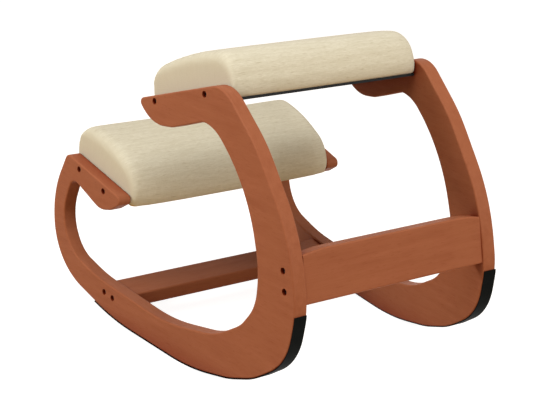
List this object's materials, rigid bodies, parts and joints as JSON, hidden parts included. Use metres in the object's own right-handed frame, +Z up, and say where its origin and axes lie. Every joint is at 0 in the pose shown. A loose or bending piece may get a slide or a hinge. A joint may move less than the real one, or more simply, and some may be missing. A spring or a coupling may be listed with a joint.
{
  "type": "kneeling chair",
  "caption": "Rocking kneeling chair: looped wooden side frames joined by rails, with a sloped upholstered seat pad and a lower knee pad bolted between them.",
  "frame": {"origin": "on the floor, under the middle of the chair's bounding box", "axes": "+X towards the rear, from the knee pad to the seat's legs; +Y across the chair to the sitter's right, since the sitter faces -X; +Z up"},
  "size_m": [0.6821, 0.5184, 0.5357],
  "materials": {
    "stained_beech": "reddish brown stain under satin lacquer",
    "black_rubber": "smooth satin rubber",
    "woven_upholstery": "beige slub weave",
    "cushion_foam": "open-cell foam",
    "plywood": "bare plywood",
    "black_fibreboard": "matt black faced board",
    "dust_cloth": "black non-woven cloth",
    "zinc_plated_steel": "bright zinc plate",
    "black_steel": "black phosphate"
  },
  "bodies": {
    "root": {"left_side_frame": "stained_beech", "right_side_frame": "stained_beech", "rear_rail": "stained_beech", "front_rail": "stained_beech", "left_rocker_strip": "black_rubber", "right_rocker_strip": "black_rubber", "seat_cover": "woven_upholstery", "knee_cover": "woven_upholstery", "seat_foam": "cushion_foam", "knee_foam": "cushion_foam", "seat_panel": "plywood", "knee_panel": "plywood", "seat_underside_board": "black_fibreboard", "knee_underside_cloth": "dust_cloth", "seat_bolts": "zinc_plated_steel", "knee_bolts": "zinc_plated_steel", "rear_rail_bolts": "zinc_plated_steel", "front_rail_bolts": "zinc_plated_steel", "seat_insert_nuts": "zinc_plated_steel", "knee_insert_nuts": "zinc_plated_steel", "rear_rail_barrel_nuts": "zinc_plated_steel", "front_rail_barrel_nuts": "zinc_plated_steel", "seat_cover_staples": "zinc_plated_steel", "knee_cover_staples": "zinc_plated_steel", "seat_underside_screws": "black_steel"}
  },
  "joints": []
}
